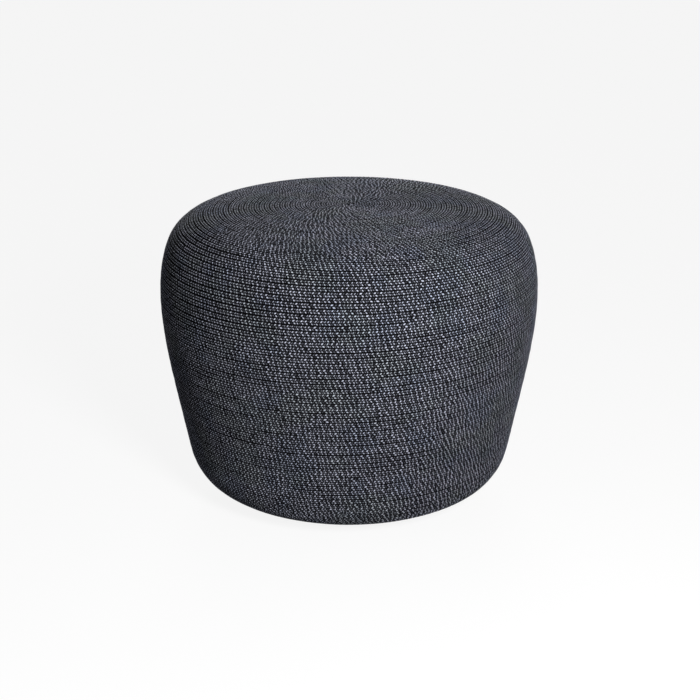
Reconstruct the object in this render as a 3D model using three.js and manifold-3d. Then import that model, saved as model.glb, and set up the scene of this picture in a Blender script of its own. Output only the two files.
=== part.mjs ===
// Outdoor ottoman footstool: a round drum stool wound from top to bottom in one braided cord.
// Under the cord lie a mesh liner, a crowned seat pad and a side sleeve of quick-dry foam.
// An aluminium frame of eight bent ribs between two rings carries them.
// It stands on six glides that are screwed up through a base plate into the lower ring.
// Millimetres, +Z up, origin on the floor under the middle.

import * as THREE from "three";
import { mergeVertices } from "three/addons/utils/BufferGeometryUtils.js";
import Module from "manifold-3d";

const wasm = await Module();
wasm.setup();

// Driving sizes of the whole
const overallDiameter = 508;
const overallHeight = 402;
const glideHeight = 8;
const cordThickness = 6.8;

// Clearances and cuts
const fitGap = 0.3;
const cutOverrun = 1;
const weldTolerance = 0.001;

// The cover's outline, from the middle of the top to the edge of its underside, is a smooth curve
// that rounds off the corners of a cage. Reach is in shares of the radius, height in shares of
// the cover's own height.
const cageReachShares = [0, 0.595, 0.905, 1, 1, 0.897, 0.843, 0.646, 0.59];
const cageHeightShares = [1, 1, 0.954, 0.807, 0.586, 0.239, 0.069, 0, 0];

// Winding: each loop is one broad turn that stands for four turns of the cord, side by side.
const windingLoops = 24;
const stepsPerLoop = 24;
const cordsPerLoop = 4;
const loopGap = 0.8;
const coreRadius = 1.5;
const startSlotShare = 1.4;
const slotOpensShares = [0.4, 0.65];
const grooveShare = 0.12;

// Liner and foam
const linerClearance = 0.8;
const linerThickness = 1.2;
const linerStations = 22;
const cordHoleRadius = 13;
const cordPocketDepth = 7;
const seatPadThickness = 64;
const sideFoamThickness = 24;

// Frame
const deckThickness = 3;
const seatRingThickness = 6;
const seatRingWidth = 28;
const baseRingThickness = 6;
const baseRingWidth = 50;
const ribCount = 8;
const ribWidth = 20;
const ribThickness = 8;
const ribStations = 12;
const ribKneeShare = 0.17;
const ribBulgeShare = 0.66;
const waistHeightShare = 0.45;
const waistHoopHeight = 20;
const waistHoopThickness = 4;
const crossBarWidth = 30;
const crossBarHeight = 15;

// Drain holes in the deck and the base plate, in rings about the middle
const drainHoleRadius = 7;
const deckDrainShares = [0.25, 0.52, 0.76];
const deckDrainCounts = [4, 8, 12];
const baseDrainShares = [0.34];
const baseDrainCounts = [6];

// Screws
const screwRadius = 2.5;
const screwHeadRadius = 5;
const screwHeadHeight = 3;
const screwSocketRadius = 1.6;
const screwSocketDepth = 1.8;
const deckScrewCount = 8;

// Glides
const glideCount = 6;
const glideRadius = 15;
const glideEdge = 1.5;
const glideInset = 35;
const headRecess = 1;

// Clip that holds the cord's tail at the edge of the base plate
const clipThickness = 1.5;
const clipLength = 22;
const clipWidth = 16;
const clipLugThickness = 2;

// Sides of the round pieces: the large ones share the winding's steps, so that they nest, and the
// ribs and bars stand half a facet round, where those pieces are flat.
const roundSides = stepsPerLoop;
const glideSides = 16;
const screwSides = 8;
const holeSides = 8;
const halfFacet = Math.PI / roundSides;
const searchHalvings = 40;

const cordMaterial = new THREE.MeshStandardMaterial({ color: 0x44464e, roughness: 0.9 });
const linerMaterial = new THREE.MeshStandardMaterial({ color: 0x1c1d20, roughness: 0.95 });
const foamMaterial = new THREE.MeshStandardMaterial({ color: 0x77797b, roughness: 1 });
const frameMaterial = new THREE.MeshStandardMaterial({ color: 0x3a3c40, roughness: 0.6, metalness: 0.3 });
const plasticMaterial = new THREE.MeshStandardMaterial({ color: 0x222325, roughness: 0.7 });
const steelMaterial = new THREE.MeshStandardMaterial({ color: 0xb9bcc0, roughness: 0.3, metalness: 1 });

// Depths under the cover's outer face, and the heights that stack up from them
const linerDepth = cordThickness + linerClearance;
const foamDepth = linerDepth + linerThickness + fitGap;
const ribDepth = foamDepth + sideFoamThickness + fitGap;
const deckTop = overallHeight - foamDepth - seatPadThickness - fitGap;
const deckBottom = deckTop - deckThickness;
const seatRingTop = deckBottom - fitGap;
const seatRingBottom = seatRingTop - seatRingThickness;
const ribTop = seatRingBottom - fitGap;
const plateBottom = glideHeight + fitGap;
const plateTop = glideHeight + linerDepth - fitGap;
const baseRingBottom = glideHeight + linerDepth + linerThickness + fitGap;
const baseRingTop = baseRingBottom + baseRingThickness;
const ribBottom = baseRingTop + fitGap;

// A smooth path along a cage: every inner corner becomes a parabola between the mid points of its sides.
function roundedPath(cage) {
  const path = new THREE.Path();
  path.moveTo(cage[0].x, cage[0].y);
  for (let i = 1; i < cage.length - 1; i++) {
    const last = i === cage.length - 2;
    const end = last ? cage[i + 1] : cage[i].clone().lerp(cage[i + 1], 0.5);
    path.quadraticCurveTo(cage[i].x, cage[i].y, end.x, end.y);
  }
  return path;
}

// A point at a share of a path's length, moved to the path's inner side by a depth.
function inset(path, share, depth) {
  const point = path.getPoint(share);
  const along = path.getTangent(share);
  return new THREE.Vector2(point.x + along.y * depth, point.y - along.x * depth);
}

// The share at which a path that runs downwards, moved in by a depth, passes a height.
function shareAtHeight(path, height, depth) {
  let above = 0;
  let below = 1;
  for (let i = 0; i < searchHalvings; i++) {
    const middle = (above + below) / 2;
    if (inset(path, middle, depth).y > height) above = middle;
    else below = middle;
  }
  return (above + below) / 2;
}

// Evenly spaced shares from one to another, both ends included.
function spread(from, to, count) {
  return Array.from({ length: count + 1 }, (_, i) => THREE.MathUtils.lerp(from, to, i / count));
}

const coverRadius = overallDiameter / 2;
const coverHeight = overallHeight - glideHeight;
const coverPath = roundedPath(
  cageReachShares.map(
    (reach, i) => new THREE.Vector2(reach * coverRadius, glideHeight + cageHeightShares[i] * coverHeight),
  ),
);
const coverLength = coverPath.getLength();
const openingRadius = coverPath.getPoint(1).x;

// The outer face of the ribs runs beside the cover and bends in to the lower ring.
function besideCover(height) {
  const share = shareAtHeight(coverPath, height, 0);
  return new THREE.Vector2(coverPath.getPoint(share).x - ribDepth, height);
}
const ribPath = roundedPath([
  besideCover(ribTop),
  besideCover(ribBottom + ribBulgeShare * (ribTop - ribBottom)),
  besideCover(ribBottom + ribKneeShare * (ribTop - ribBottom)),
  new THREE.Vector2(openingRadius - fitGap, ribBottom),
]);
const ribShares = spread(0, 1, ribStations);

function solidOf(geometry) {
  const bare = new THREE.BufferGeometry();
  bare.setAttribute("position", geometry.getAttribute("position"));
  bare.setIndex(geometry.getIndex());
  const welded = mergeVertices(bare, weldTolerance);
  return new wasm.Manifold(
    new wasm.Mesh({
      numProp: 3,
      vertProperties: welded.getAttribute("position").array,
      triVerts: new Uint32Array(welded.getIndex().array),
    }),
  );
}

function geometryOf(solid) {
  const mesh = solid.getMesh();
  const geometry = new THREE.BufferGeometry();
  geometry.setAttribute("position", new THREE.BufferAttribute(mesh.vertProperties, mesh.numProp));
  geometry.setIndex(new THREE.BufferAttribute(mesh.triVerts, 1));
  geometry.computeVertexNormals();
  return geometry;
}

function cut(geometry, tools) {
  return geometryOf(tools.reduce((left, tool) => left.subtract(solidOf(tool)), solidOf(geometry)));
}

// Turns an outline of [radius, height] points about +Z. The outline runs anticlockwise: up the
// outside and down the inside. It starts and ends on the axis, or closes on itself.
function revolve(outline, sides) {
  const points = outline.map(([radius, height]) => new THREE.Vector2(radius, height));
  if (points[0].x > 0) points.push(points[0].clone());
  const geometry = new THREE.LatheGeometry(points, sides);
  return geometry.rotateX(Math.PI / 2);
}

function box(width, depth, height, x, y, bottom) {
  return new THREE.BoxGeometry(width, depth, height).translate(x, y, bottom + height / 2);
}

function drill(radius, x, y, bottom, top) {
  const height = top - bottom + 2 * cutOverrun;
  const cylinder = new THREE.CylinderGeometry(radius, radius, height, holeSides);
  return cylinder.rotateX(Math.PI / 2).translate(x, y, (bottom + top) / 2);
}

function around(count, radius, firstAngle) {
  return Array.from({ length: count }, (_, i) => {
    const angle = firstAngle + (i / count) * 2 * Math.PI;
    return { angle, x: radius * Math.cos(angle), y: radius * Math.sin(angle) };
  });
}

const footstool = new THREE.Group();

function add(name, geometry, material) {
  const mesh = new THREE.Mesh(geometry, material);
  mesh.name = name;
  footstool.add(mesh);
  return mesh;
}

// One pass of the winding lies between two edges, measured along the cover's outline. The cord
// starts one cord wide beside a small slot at the middle and ends one cord wide at the opening.
const loopPitch = (coverLength - coreRadius) / (windingLoops - 1 + (1 + startSlotShare) / cordsPerLoop);
const cordPitch = loopPitch / cordsPerLoop;
const startSlot = startSlotShare * cordPitch;

function passEdge(turn) {
  return coreRadius + startSlot + turn * loopPitch;
}

function passInner(turn) {
  const slot = startSlot * THREE.MathUtils.smoothstep(turn, ...slotOpensShares);
  return Math.max(coreRadius + slot, passEdge(turn - 1)) + loopGap / 2;
}

function passOuter(turn) {
  if (turn === 0) return coreRadius + cordPitch;
  return Math.min(passEdge(turn) - loopGap / 2, coverLength);
}

// The section has three points on its outer face and three on its inner one, and narrows outwards,
// so that a groove shows between the loops.
function windingRing(turn) {
  const inner = passInner(turn);
  const outer = passOuter(turn);
  const groove = grooveShare * (outer - inner);
  const middle = (inner + outer) / 2;
  const section = [
    [inner, cordThickness],
    [inner + groove, 0],
    [middle, 0],
    [outer - groove, 0],
    [outer, cordThickness],
    [middle, cordThickness],
  ];
  const angle = turn * 2 * Math.PI;
  return section.map(([reach, depth]) => {
    const point = inset(coverPath, reach / coverLength, depth);
    return new THREE.Vector3(point.x * Math.cos(angle), point.x * Math.sin(angle), point.y);
  });
}

// The two ends run straight for one cord's thickness: the start up to its own next turn, and the
// tail up to the clip.
function windingRings() {
  const rings = spread(0, windingLoops, windingLoops * stepsPerLoop).map(windingRing);
  const moved = (ring, distance) => ring.map((point) => point.clone().setY(point.y + distance));
  return [moved(rings[0], -cordThickness), ...rings, moved(rings.at(-1), cordThickness)];
}

// Joins rings of points into one closed tube with flat ends.
function tubeThrough(rings) {
  const sides = rings[0].length;
  const positions = rings.flat().flatMap((point) => point.toArray());
  const faces = [];
  for (let i = 0; i < rings.length - 1; i++) {
    for (let j = 0; j < sides; j++) {
      const a = i * sides + j;
      const b = i * sides + ((j + 1) % sides);
      faces.push(a, b, a + sides, b, b + sides, a + sides);
    }
  }
  const lastRing = (rings.length - 1) * sides;
  for (let j = 1; j < sides - 1; j++) {
    faces.push(0, j + 1, j, lastRing, lastRing + j, lastRing + j + 1);
  }
  const geometry = new THREE.BufferGeometry();
  geometry.setAttribute("position", new THREE.Float32BufferAttribute(positions, 3));
  geometry.setIndex(faces);
  return geometry;
}

// The least distance between points of rings that lie more than a quarter of a loop apart.
function leastGap(rings) {
  let least = Infinity;
  for (let i = 0; i < rings.length; i++) {
    for (let k = i + 1 + stepsPerLoop / 4; k < rings.length; k++) {
      for (const a of rings[i]) {
        for (const b of rings[k]) least = Math.min(least, a.distanceToSquared(b));
      }
    }
  }
  return Math.sqrt(least);
}

function addWinding() {
  const rings = windingRings();
  add("cord_winding", tubeThrough(rings), cordMaterial);
  console.log("cord_winding: " + windingLoops + " loops at a pitch of " + loopPitch.toFixed(2) + " mm");
  console.log("cord_winding: least gap to itself " + leastGap(rings).toFixed(2) + " mm");
}

// Shares of the cover's length at which the liner and the foam have their points.
const cordHoleShare = cordHoleRadius / coverLength;
const padRimShare = shareAtHeight(coverPath, deckTop + fitGap, foamDepth);
const foamFoot = ribBottom + ribThickness / 2;
const footShare = shareAtHeight(coverPath, foamFoot, foamDepth);
const padShares = spread(cordHoleShare, padRimShare, Math.round(linerStations * padRimShare));
const sideShares = spread(padRimShare, footShare, Math.round(linerStations * (footShare - padRimShare)));
const hemShares = spread(footShare, 1, Math.ceil(linerStations * (1 - footShare)));

const glideCircle = openingRadius - glideInset;
const glidePlaces = around(glideCount, glideCircle, 0);

function glideScrewHoles(bottom, top) {
  return glidePlaces.map(({ x, y }) => drill(screwRadius + fitGap, x, y, bottom, top));
}

// The liner is open at the middle for the cord's start, and its hem lies under the lower ring.
function addLiner() {
  const shares = [...padShares, ...sideShares.slice(1), ...hemShares.slice(1)];
  const outside = shares.map((share) => inset(coverPath, share, linerDepth).toArray());
  const inside = shares.map((share) => inset(coverPath, share, linerDepth + linerThickness).toArray());
  const hemBottom = glideHeight + linerDepth;
  const hemRadius = openingRadius - baseRingWidth;
  const outline = [
    [hemRadius, hemBottom],
    ...outside.reverse(),
    ...inside,
    [hemRadius, hemBottom + linerThickness],
  ];
  const hem = glideScrewHoles(hemBottom, hemBottom + linerThickness);
  add("mesh_liner", cut(revolve(outline, roundSides), hem), linerMaterial);
}

// The pad fills the crown down to the deck. Its pocket takes the cord's start.
function addTopPad() {
  const rim = padShares.map((share) => inset(coverPath, share, foamDepth).toArray());
  const pocket = rim[0][1] - cordPocketDepth;
  const outline = [[0, deckTop + fitGap], ...rim.reverse(), [cordHoleRadius, pocket], [0, pocket]];
  add("top_pad", revolve(outline, roundSides), foamMaterial);
}

// The sleeve fills the space between the liner and the ribs, whose flat faces lie on its inside.
function addSideFoam() {
  const topShare = shareAtHeight(coverPath, deckTop, foamDepth);
  const outside = [topShare, ...sideShares.slice(1)];
  const lowest = shareAtHeight(ribPath, foamFoot, -fitGap);
  const inside = [...ribShares.filter((share) => share < lowest), lowest].map((share) => {
    const point = inset(ribPath, share, -fitGap);
    return [point.x / Math.cos(halfFacet), point.y];
  });
  const outline = [
    ...outside.map((share) => inset(coverPath, share, foamDepth).toArray()).reverse(),
    [inside[0][0], deckTop],
    ...inside,
  ];
  add("side_foam", revolve(outline, roundSides), foamMaterial);
}

// The ribs stand flush with the seat ring's flat sides.
const seatRingOuter = ribPath.getPoint(0).x / Math.cos(halfFacet);
const seatRingInner = seatRingOuter - seatRingWidth;
const deckScrewCircle = seatRingOuter - seatRingWidth / 2;
const deckScrewPlaces = around(deckScrewCount, deckScrewCircle, halfFacet + Math.PI / deckScrewCount);

function deckScrewHoles(bottom, top) {
  return deckScrewPlaces.map(({ x, y }) => drill(screwRadius + fitGap, x, y, bottom, top));
}

function flatRing(inner, outer, bottom, top) {
  const outline = [
    [outer, bottom],
    [outer, top],
    [inner, top],
    [inner, bottom],
  ];
  return revolve(outline, roundSides);
}

function disc(radius, bottom, top) {
  const outline = [
    [0, bottom],
    [radius, bottom],
    [radius, top],
    [0, top],
  ];
  return revolve(outline, roundSides);
}

function drainHoles(shares, counts, radius, bottom, top) {
  return shares.flatMap((share, ring) =>
    around(counts[ring], share * radius, 0).map(({ x, y }) => drill(drainHoleRadius, x, y, bottom, top)),
  );
}

function addDeck() {
  const drains = drainHoles(deckDrainShares, deckDrainCounts, seatRingOuter, deckBottom, deckTop);
  const holes = [...drains, ...deckScrewHoles(deckBottom, deckTop)];
  add("seat_deck", cut(disc(seatRingOuter, deckBottom, deckTop), holes), frameMaterial);
}

function addSeatRing() {
  const ring = flatRing(seatRingInner, seatRingOuter, seatRingBottom, seatRingTop);
  add("seat_ring", cut(ring, deckScrewHoles(seatRingBottom, seatRingTop)), frameMaterial);
}

// A rib is a flat bar bent to the side's curve, with both ends sawn level.
function ribGeometry() {
  const edge = (depth) => {
    const points = ribShares.map((share) => inset(ribPath, share, depth));
    const start = points[0].clone().addScaledVector(ribPath.getTangent(0), -ribThickness);
    const end = points.at(-1).clone().addScaledVector(ribPath.getTangent(1), ribThickness);
    return [start, ...points, end];
  };
  const outline = new THREE.Shape([...edge(0), ...edge(ribThickness).reverse()]);
  const bar = new THREE.ExtrudeGeometry(outline, { depth: ribWidth, bevelEnabled: false });
  bar.translate(0, 0, -ribWidth / 2).rotateX(Math.PI / 2);
  const level = box(overallDiameter, overallDiameter, ribTop - ribBottom, 0, 0, ribBottom);
  return geometryOf(solidOf(bar).intersect(solidOf(level)));
}

function addRibs() {
  const geometry = ribGeometry();
  around(ribCount, 0, halfFacet).forEach(({ angle }, i) => {
    add("frame_rib_" + (i + 1), geometry, frameMaterial).rotation.z = angle;
  });
}

// The hoop lies against the inner faces of the ribs, which lean in towards the floor.
function addWaistHoop() {
  const bottom = ribBottom + waistHeightShare * (ribTop - ribBottom);
  const share = shareAtHeight(ribPath, bottom, ribThickness);
  const flats = inset(ribPath, share, ribThickness).x - fitGap;
  const outer = flats / Math.cos(halfFacet);
  const hoop = flatRing(outer - waistHoopThickness, outer, bottom, bottom + waistHoopHeight);
  add("waist_hoop", hoop, frameMaterial);
}

// Two bars cross under the deck: one runs through, and the other is in two halves.
function addCrossBars() {
  const reach = seatRingInner * Math.cos(halfFacet) - fitGap;
  const bottom = seatRingTop - crossBarHeight;
  const halfLength = reach - crossBarWidth / 2 - fitGap;
  const halfMiddle = reach - halfLength / 2;
  const long = box(2 * reach, crossBarWidth, crossBarHeight, 0, 0, bottom);
  const left = box(crossBarWidth, halfLength, crossBarHeight, 0, halfMiddle, bottom);
  const right = box(crossBarWidth, halfLength, crossBarHeight, 0, -halfMiddle, bottom);
  add("cross_bar_long", long, frameMaterial).rotation.z = halfFacet;
  add("cross_bar_left", left, frameMaterial).rotation.z = halfFacet;
  add("cross_bar_right", right, frameMaterial).rotation.z = halfFacet;
}

// A socket head screw that points up, with the seat of its head at a height.
function screwGeometry(seat, tip) {
  const head = seat - screwHeadHeight;
  const outline = [
    [0, head + screwSocketDepth],
    [screwSocketRadius, head + screwSocketDepth],
    [screwSocketRadius, head],
    [screwHeadRadius, head],
    [screwHeadRadius, seat],
    [screwRadius, seat],
    [screwRadius, tip],
    [0, tip],
  ];
  return revolve(outline, screwSides);
}

function addScrews(prefix, places, seat, tip) {
  const geometry = screwGeometry(seat, tip);
  places.forEach(({ x, y }, i) => {
    add(prefix + "_" + (i + 1), geometry, steelMaterial).position.set(x, y, 0);
  });
}

function addBaseRing() {
  const outer = openingRadius - fitGap;
  const ring = flatRing(openingRadius - baseRingWidth, outer, baseRingBottom, baseRingTop);
  add("base_ring", cut(ring, glideScrewHoles(baseRingBottom, baseRingTop)), frameMaterial);
}

const clipScrewPlace = { x: openingRadius - clipLength / 2, y: clipWidth / 2 - cordThickness / 2 };

function addBasePlate() {
  const radius = openingRadius - loopGap;
  const drains = drainHoles(baseDrainShares, baseDrainCounts, radius, plateBottom, plateTop);
  const clipHole = drill(screwRadius + fitGap, clipScrewPlace.x, clipScrewPlace.y, plateBottom, plateTop);
  const holes = [...drains, ...glideScrewHoles(plateBottom, plateTop), clipHole];
  add("base_plate", cut(disc(radius, plateBottom, plateTop), holes), plasticMaterial);
}

// A glide has a stepped bore from below, so that its screw's head stays clear of the floor.
const glideSeat = headRecess + screwHeadHeight + fitGap;

function addGlides() {
  const bore = screwRadius + fitGap;
  const counterbore = screwHeadRadius + fitGap;
  const outline = [
    [glideRadius - glideEdge, 0],
    [glideRadius, glideEdge],
    [glideRadius, glideHeight],
    [bore, glideHeight],
    [bore, glideSeat],
    [counterbore, glideSeat],
    [counterbore, 0],
  ];
  const geometry = revolve(outline, glideSides);
  glidePlaces.forEach(({ x, y }, i) => {
    add("glide_" + (i + 1), geometry, plasticMaterial).position.set(x, y, 0);
  });
}

// The clip's plate lies under the cord's tail, and its lug stands square to the tail's end.
function addCordEndClip() {
  const plateZ = glideHeight - fitGap - clipThickness;
  const { x, y } = clipScrewPlace;
  const plateX = openingRadius + cordPitch - clipLength / 2;
  const plate = box(clipLength, clipWidth, clipThickness, plateX, y, plateZ);
  const lugWidth = cordPitch / 2;
  const lugX = openingRadius + lugWidth / 2;
  const lugY = cordThickness + fitGap + clipLugThickness / 2;
  const lugHeight = clipThickness + fitGap + cordThickness;
  const lug = box(lugWidth, clipLugThickness, lugHeight, lugX, lugY, plateZ);
  const hole = drill(screwRadius + fitGap, x, y, plateZ, plateZ + clipThickness);
  const clip = solidOf(plate).add(solidOf(lug)).subtract(solidOf(hole));
  add("cord_end_clip", geometryOf(clip), steelMaterial);
  const screw = screwGeometry(plateZ - fitGap, plateTop - fitGap);
  add("clip_screw", screw, steelMaterial).position.set(x, y, 0);
}

addWinding();
addLiner();
addTopPad();
addSideFoam();
addDeck();
addSeatRing();
addRibs();
addWaistHoop();
addCrossBars();
addScrews("deck_screw", deckScrewPlaces, seatRingBottom - fitGap, deckTop - fitGap);
addBaseRing();
addBasePlate();
addGlides();
addScrews("glide_screw", glidePlaces, glideSeat - fitGap, baseRingTop - fitGap);
addCordEndClip();

export default footstool;
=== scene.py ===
# %% [markdown]
# # Outdoor ottoman footstool
# A round drum stool for a porch. One braided cord, about a hundred and twelve metres long, is
# coiled round it from the middle of the top to the edge of its underside. Under the cord lie a
# stretched liner, foam pads and an aluminium frame, and six glides carry it all.
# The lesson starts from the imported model, which fixes every size and place, and dresses it.

import math

import bmesh
import bpy
import numpy as np
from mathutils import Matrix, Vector


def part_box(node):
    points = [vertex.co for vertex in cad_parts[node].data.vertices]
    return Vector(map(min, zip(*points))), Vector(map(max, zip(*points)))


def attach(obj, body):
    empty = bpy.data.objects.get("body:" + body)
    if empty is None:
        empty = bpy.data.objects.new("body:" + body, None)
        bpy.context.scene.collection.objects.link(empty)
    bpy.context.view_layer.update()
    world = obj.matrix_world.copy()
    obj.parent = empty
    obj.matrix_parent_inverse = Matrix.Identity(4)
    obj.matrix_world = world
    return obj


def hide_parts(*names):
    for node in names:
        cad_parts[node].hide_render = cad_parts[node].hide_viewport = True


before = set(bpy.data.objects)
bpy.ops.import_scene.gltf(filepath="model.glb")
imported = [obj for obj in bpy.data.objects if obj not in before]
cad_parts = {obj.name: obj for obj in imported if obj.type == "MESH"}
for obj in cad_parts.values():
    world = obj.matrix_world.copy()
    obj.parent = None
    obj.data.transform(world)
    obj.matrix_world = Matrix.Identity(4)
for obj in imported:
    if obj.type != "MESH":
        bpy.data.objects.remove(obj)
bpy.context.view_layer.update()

# %% [markdown]
# ## Camera
# The stool was photographed from a little over two metres away and from about twenty degrees above
# the horizon, with a short telephoto lens. The camera looks at a point just under the stool's
# middle, so no lens shift is needed.

# %% Camera
CAMERA_DISTANCE = 2.206
CAMERA_ELEVATION = math.radians(19.66)
CAMERA_AIM = (0.0013, 0.0, 0.195)
CAMERA_LENS = 82.7


def placed(name, data):
    """Makes an object from a camera, a light, a curve or a mesh and puts it in the scene."""
    made = bpy.data.objects.new(name, data)
    bpy.context.scene.collection.objects.link(made)
    return made


def aim(thing, target):
    """Turns a camera or a light so that it looks at a point."""
    direction = thing.location - Vector(target)
    thing.rotation_euler = direction.to_track_quat("Z", "Y").to_euler()


camera = placed("camera", bpy.data.cameras.new("camera"))
camera.data.lens = CAMERA_LENS
camera.location = (
    CAMERA_AIM[0],
    -CAMERA_DISTANCE * math.cos(CAMERA_ELEVATION),
    CAMERA_AIM[2] + CAMERA_DISTANCE * math.sin(CAMERA_ELEVATION),
)
aim(camera, CAMERA_AIM)
bpy.context.scene.camera = camera
print("camera at", [round(c, 3) for c in camera.location])

# %% [markdown]
# ## Node helpers
# Most of this stool follows rules: a cord at a steady pitch, stitches at a steady length. Rules are
# what node trees are for, but a sum made of boxes and links is hard to read. These helpers let a
# formula be written as one: a Wire is what runs through a tree from one node to the next, and adding
# or multiplying wires adds the Math nodes. The same helpers serve geometry trees and shader trees.

# %% Node helpers
FLOAT, INT, VECTOR, COLOUR = (f"NodeSocket{kind}" for kind in ("Float", "Int", "Vector", "Color"))
OBJECT, MATERIAL, GEOMETRY = (f"NodeSocket{kind}" for kind in ("Object", "Material", "Geometry"))
NOISE_SPAN = (0.3, 0.7)


def fill(tree, made, values):
    """Sets or links a node's inputs, given by name or by number."""
    for key, value in values.items():
        socket = value.socket if isinstance(value, Wire) else value
        if isinstance(socket, bpy.types.NodeSocket):
            tree.links.new(socket, made.inputs[key])
        else:
            made.inputs[key].default_value = socket


def node(tree, kind, values=None, **settings):
    """Adds a node, sets its options, then fills its inputs."""
    made = tree.nodes.new(kind)
    for name, value in settings.items():
        setattr(made, name, value)
    fill(tree, made, values or {})
    return made


def wire(tree, kind, values=None, output=0, **settings):
    """Adds a node and gives one of its outputs."""
    return Wire(tree, node(tree, kind, values, **settings).outputs[output])


class Wire:
    """A number, place, colour or shape in a node tree. Sums written with wires become Math nodes."""

    def __init__(self, tree, socket):
        self.tree = tree
        self.socket = socket

    def math(self, operation, *others):
        values = dict(enumerate([self, *others]))
        return wire(self.tree, "ShaderNodeMath", values, operation=operation)

    def __add__(self, other):
        return self.math("ADD", other)

    def __sub__(self, other):
        return self.math("SUBTRACT", other)

    def __mul__(self, other):
        return self.math("MULTIPLY", other)

    def __truediv__(self, other):
        return self.math("DIVIDE", other)

    def ramp(self, from_low, from_high, to_low=0.0, to_high=1.0, smooth=True):
        """Maps one range onto another and stops at its ends."""
        kind = "SMOOTHSTEP" if smooth else "LINEAR"
        values = dict(enumerate([self, from_low, from_high, to_low, to_high]))
        return wire(self.tree, "ShaderNodeMapRange", values, interpolation_type=kind)


def join_xyz(tree, x, y, z):
    return wire(tree, "ShaderNodeCombineXYZ", {0: x, 1: y, 2: z})


def split_xyz(tree, vector):
    return [Wire(tree, part) for part in node(tree, "ShaderNodeSeparateXYZ", {0: vector}).outputs]


def noise(tree, place, dimensions="1D", detail=2.0, scale=1.0):
    """A smooth random value, mostly within NOISE_SPAN. Its pattern is the same in each run."""
    values = {"Scale": scale, "Detail": detail, "W" if dimensions == "1D" else "Vector": place}
    return wire(tree, "ShaderNodeTexNoise", values, noise_dimensions=dimensions)


def dice(tree, number):
    """A random value from 0 to 1 that belongs to a whole number."""
    return wire(tree, "ShaderNodeTexWhiteNoise", {"W": number}, "Value", noise_dimensions="1D")


def new_tree(name, kind, inputs, outputs):
    """A node group, the wires of its inputs, given as (name, type, default), and its output node."""
    tree = bpy.data.node_groups.new(name, kind)
    for label, socket_type, default in inputs:
        socket = tree.interface.new_socket(label, in_out="INPUT", socket_type=socket_type)
        if default is not None:
            socket.default_value = default
    for label, socket_type in outputs:
        tree.interface.new_socket(label, in_out="OUTPUT", socket_type=socket_type)
    sockets = node(tree, "NodeGroupInput").outputs
    given = {label: Wire(tree, sockets[label]) for label, _, _ in inputs}
    return tree, given, node(tree, "NodeGroupOutput")


# %% [markdown]
# ## The outline of the cover
# Seen from the side the stool is a soft drum, widest above the middle and drawn in to the floor.
# Its outline is one smooth line that rounds off the corners of a cage of nine points. That is just
# what a NURBS curve of order three does, so the cage goes straight into one. Every piece of the
# cover is then placed by two numbers: how far along this outline it lies, and how deep under it.

# %% Outline
CAGE_REACH_SHARES = [0, 0.595, 0.905, 1, 1, 0.897, 0.843, 0.646, 0.59]
CAGE_HEIGHT_SHARES = [1, 1, 0.954, 0.807, 0.586, 0.239, 0.069, 0, 0]
OUTLINE_STEPS = 64


def new_curve(name, kind, places):
    """A curve object with one line, which is returned too because its options are set on it."""
    curve = bpy.data.curves.new(name, "CURVE")
    curve.dimensions = "3D"
    line = curve.splines.new(kind)
    line.points.add(len(places) - 1)
    for point, place in zip(line.points, places):
        point.co = (*place, 1)
    return placed(name, curve), line


def evaluated_mesh(piece):
    """The mesh that a curve makes, or that a piece has once its modifiers have run."""
    bpy.context.view_layer.update()
    settled = piece.evaluated_get(bpy.context.evaluated_depsgraph_get())
    return bpy.data.meshes.new_from_object(settled)


cover_low, cover_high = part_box("cord_winding")
cover_height = cover_high.z - cover_low.z
cage = [
    (reach * cover_high.x, 0, cover_low.z + height * cover_height)
    for reach, height in zip(CAGE_REACH_SHARES, CAGE_HEIGHT_SHARES)
]
outline, line = new_curve("cover_outline", "NURBS", cage)
line.order_u = 3
line.use_endpoint_u = True
line.resolution_u = OUTLINE_STEPS
outline_mesh = evaluated_mesh(outline)
outline_points = np.array([(v.co.x, v.co.z) for v in outline_mesh.vertices])
bpy.data.meshes.remove(outline_mesh)
outline_steps = np.linalg.norm(np.diff(outline_points, axis=0), axis=1)
outline_reach = np.concatenate([[0], np.cumsum(outline_steps)])
cover_length = outline_reach[-1]
print("outline:", len(outline_points), "points,", round(1000 * cover_length, 1), "mm from middle to edge")

# %% [markdown]
# ## The cord's winding
# The real cord is a soft braid nearly seven millimetres thick. Each turn lies against the last, so
# the distance from the middle, measured along the outline, grows by one pitch in each turn. The
# pitch is the outline's length shared out over the turns, with half a turn more for the outer half
# of the last one. The cord starts half a turn early, right on the axis, and its tail runs on past
# the last full turn to the clip under the stool.

# %% Winding values
CORD_THICKNESS = 0.0068
CORD_TURNS = 94
START_TURN = -0.5
EDGE_TURN_SHARE = 0.5
STITCH_LENGTH = 0.00285
RINGS_PER_STITCH = 2
COLUMN_SHIFT_RINGS = 1
RUNS = 10
GUIDE_POINTS_PER_TURN = 64

tail_radius = outline_points[-1][0]
end_turn = CORD_TURNS + CORD_THICKNESS / (2 * math.pi * tail_radius)
cord_pitch = cover_length / (end_turn - START_TURN + EDGE_TURN_SHARE)
sample_turns = np.linspace(START_TURN, end_turn, GUIDE_POINTS_PER_TURN * CORD_TURNS)
sample_radii = np.interp(cord_pitch * (sample_turns - START_TURN), outline_reach, outline_points[:, 0])
turn_lengths = np.hypot(2 * math.pi * sample_radii, cord_pitch)
cord_length = float(turn_lengths.mean()) * (end_turn - START_TURN)
stitch_count = round(cord_length / STITCH_LENGTH)
ring_count = stitch_count * RINGS_PER_STITCH
print("cord:", round(cord_length, 2), "m at a pitch of", round(1000 * cord_pitch, 2), "mm")
print("cord:", stitch_count, "stitches,", ring_count, "rings")

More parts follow.
